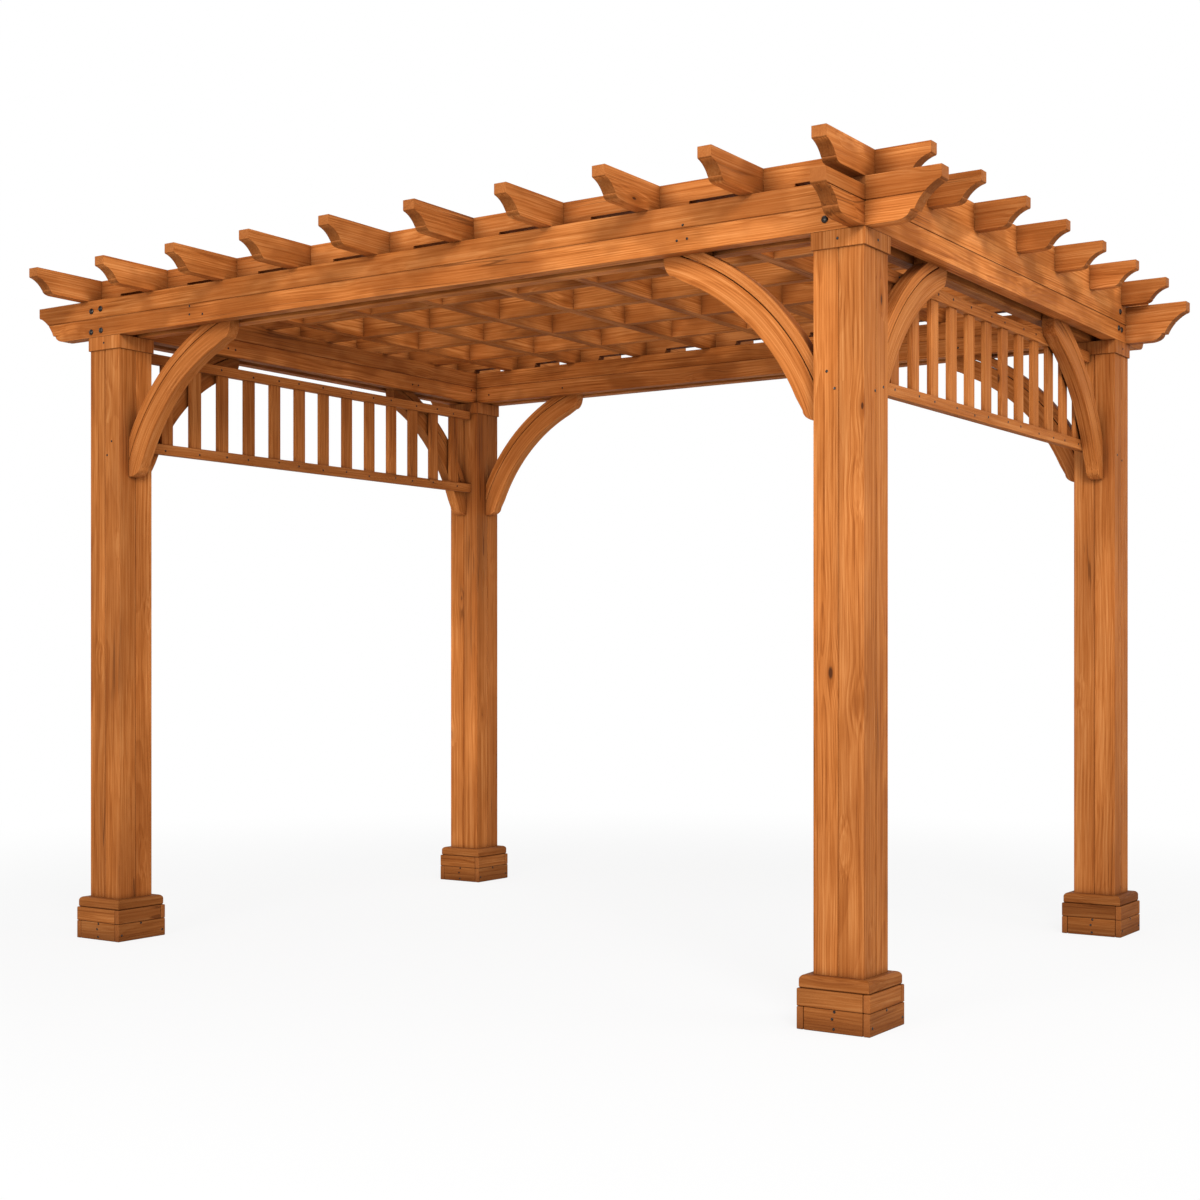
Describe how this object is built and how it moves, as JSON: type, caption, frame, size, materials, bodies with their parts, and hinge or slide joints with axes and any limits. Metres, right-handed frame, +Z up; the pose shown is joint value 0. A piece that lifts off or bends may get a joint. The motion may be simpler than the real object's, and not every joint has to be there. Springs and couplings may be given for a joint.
{
  "type": "wooden pergola",
  "caption": "Open timber pergola: boxed posts on plinths, doubled beams with shaped tails, curved braces, slatted side panels and a crossed grid of rafters and purlins.",
  "frame": {"origin": "centre of the plan, on the ground under the post plinths", "axes": "+X along the long side towards the side whose purlin tails stand out, +Y from front to back, +Z up"},
  "size_m": [3.768, 2.852, 2.515],
  "materials": {
    "post_wood": "stained cedar, satin",
    "base_wood": "stained cedar, satin",
    "beam_wood": "stained cedar, satin",
    "brace_wood": "stained cedar, satin",
    "panel_wood": "stained cedar, satin",
    "roof_wood": "stained cedar, satin",
    "fixings": "black satin"
  },
  "bodies": {
    "root": {"post_front_left": "post_wood", "post_front_right": "post_wood", "post_back_left": "post_wood", "post_back_right": "post_wood", "collar_front_left": "post_wood", "collar_front_right": "post_wood", "collar_back_left": "post_wood", "collar_back_right": "post_wood", "base_front_left": "base_wood", "base_front_right": "base_wood", "base_back_left": "base_wood", "base_back_right": "base_wood", "beam_front_outer": "beam_wood", "beam_back_outer": "beam_wood", "beam_left_outer": "beam_wood", "beam_right_outer": "beam_wood", "beam_front_inner": "beam_wood", "beam_back_inner": "beam_wood", "beam_left_inner": "beam_wood", "beam_right_inner": "beam_wood", "brace_front_left_x": "brace_wood", "brace_front_right_x": "brace_wood", "brace_back_left_x": "brace_wood", "brace_back_right_x": "brace_wood", "brace_front_left_y": "brace_wood", "brace_front_right_y": "brace_wood", "brace_back_left_y": "brace_wood", "brace_back_right_y": "brace_wood", "side_panel_left": "panel_wood", "side_panel_right": "panel_wood", "rafter_1": "roof_wood", "rafter_2": "roof_wood", "rafter_3": "roof_wood", "rafter_4": "roof_wood", "rafter_5": "roof_wood", "rafter_6": "roof_wood", "rafter_7": "roof_wood", "rafter_8": "roof_wood", "rafter_9": "roof_wood", "rafter_10": "roof_wood", "purlin_1": "roof_wood", "purlin_2": "roof_wood", "purlin_3": "roof_wood", "purlin_4": "roof_wood", "purlin_5": "roof_wood", "purlin_6": "roof_wood", "purlin_7": "roof_wood"}
  },
  "joints": []
}
